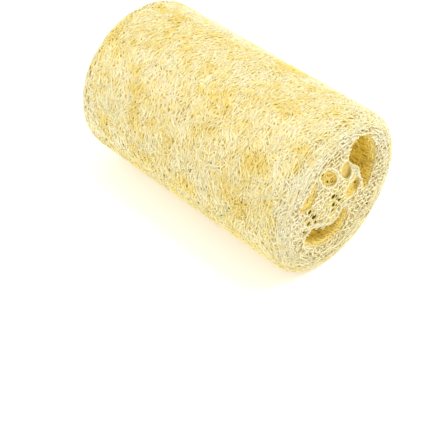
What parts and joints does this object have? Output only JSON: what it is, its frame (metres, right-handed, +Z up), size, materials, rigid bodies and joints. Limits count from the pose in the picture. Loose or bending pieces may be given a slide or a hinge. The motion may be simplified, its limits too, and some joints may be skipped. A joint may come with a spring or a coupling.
{
  "type": "natural loofah sponge",
  "caption": "Cut cylindrical length of dried gourd fibre net with open seed chambers, for washing and scrubbing.",
  "frame": {"origin": "bottom centre of the sponge's box, on the flat it lies on", "axes": "+X along the gourd towards the cut end that shows in the picture, +Z up, +Y across"},
  "size_m": [0.127, 0.078, 0.0772],
  "materials": {
    "loofah_fibre": "matt dried plant fibre"
  },
  "bodies": {
    "root": {"loofah_sponge": "loofah_fibre"}
  },
  "joints": []
}
